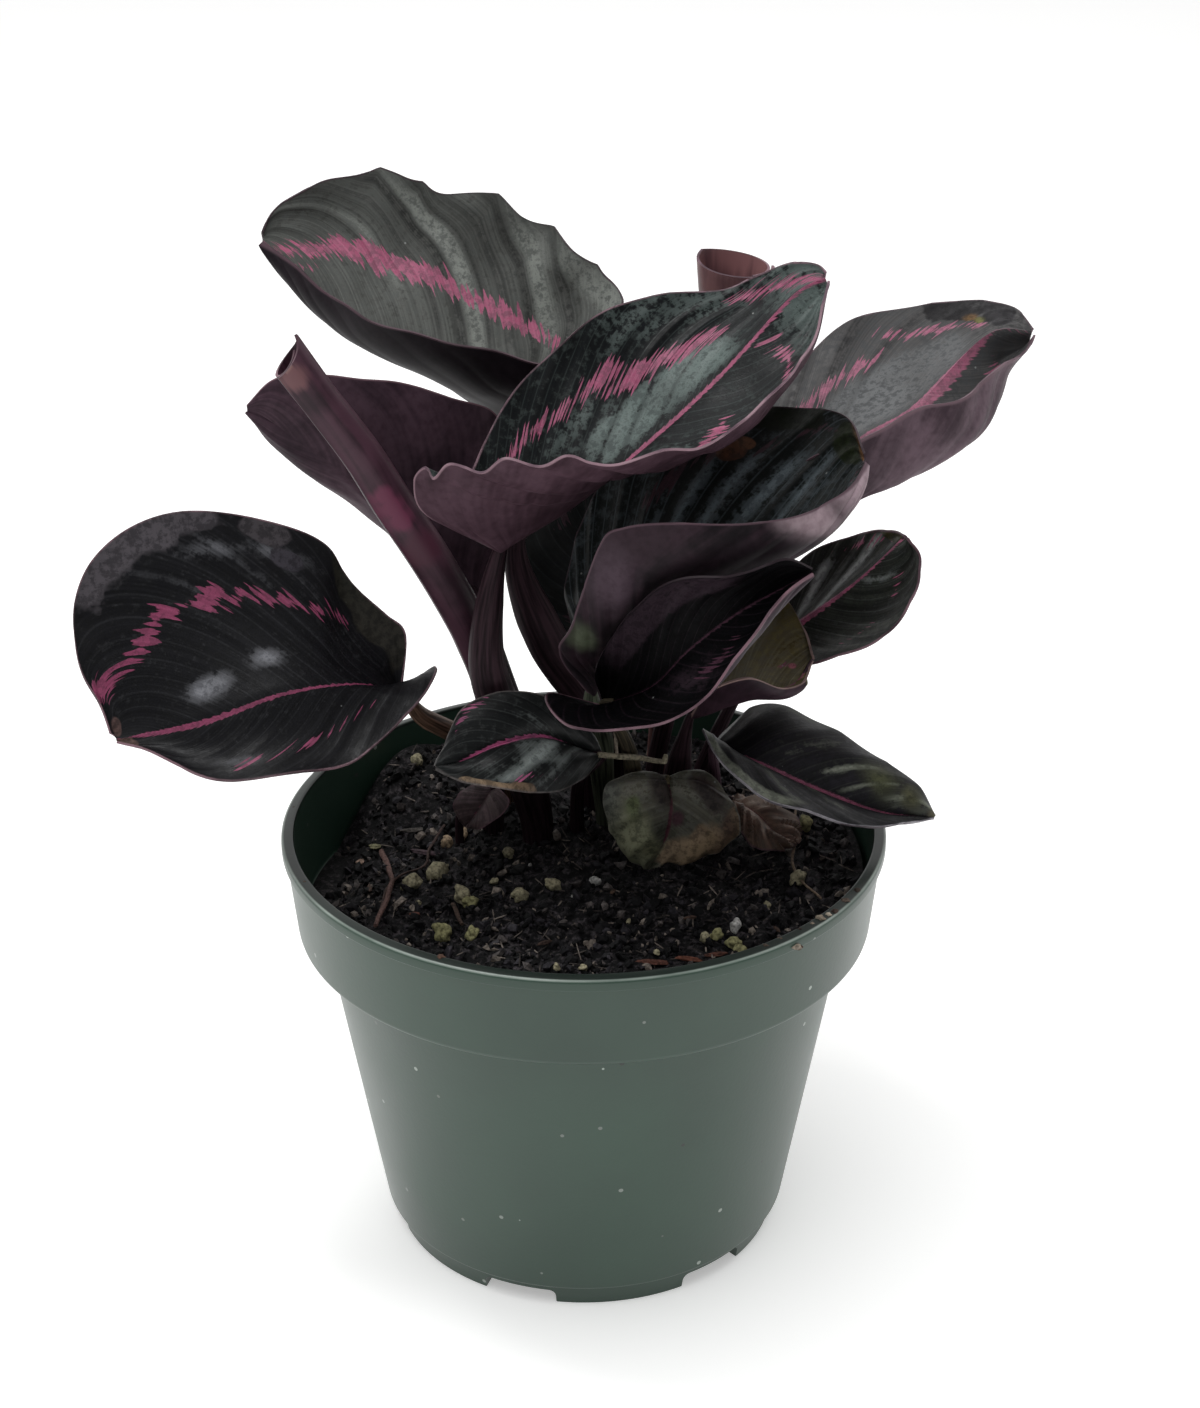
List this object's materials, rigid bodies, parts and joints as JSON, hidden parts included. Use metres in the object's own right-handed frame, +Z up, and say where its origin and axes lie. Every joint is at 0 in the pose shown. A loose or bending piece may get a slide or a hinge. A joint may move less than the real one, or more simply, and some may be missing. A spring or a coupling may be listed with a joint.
{
  "type": "potted calathea",
  "caption": "Calathea house plant with dark waved leaves, purple underneath, growing in soil in a round tapered nursery pot that stands on its flat base.",
  "frame": {"origin": "centre of the pot's flat underside, on the surface it stands on", "axes": "+Z up along the pot's axis; -Y towards the viewer of the picture; +X to the viewer's right"},
  "size_m": [0.2502, 0.1703, 0.2694],
  "materials": {
    "pot": "satin",
    "soil": "matte",
    "leaf": "satin",
    "old_leaf": "satin",
    "dry_leaf": "matte",
    "young_leaf": "satin"
  },
  "bodies": {
    "root": {"pot": "pot", "soil": "soil", "leaf_back_left": "leaf", "leaf_front_centre": "leaf", "leaf_left_purple": "leaf", "leaf_back_right": "leaf", "leaf_centre_right": "leaf", "leaf_front_black": "leaf", "leaf_small_olive": "old_leaf", "leaf_small_right": "leaf", "leaf_low_right": "leaf", "leaf_low_centre": "leaf", "leaf_hanging": "old_leaf", "leaf_low_left": "leaf", "leaf_back_upright": "leaf", "leaf_dry": "dry_leaf", "sheath_withered": "dry_leaf", "rolled_leaf_left": "young_leaf", "rolled_leaf_back": "young_leaf"}
  },
  "joints": []
}
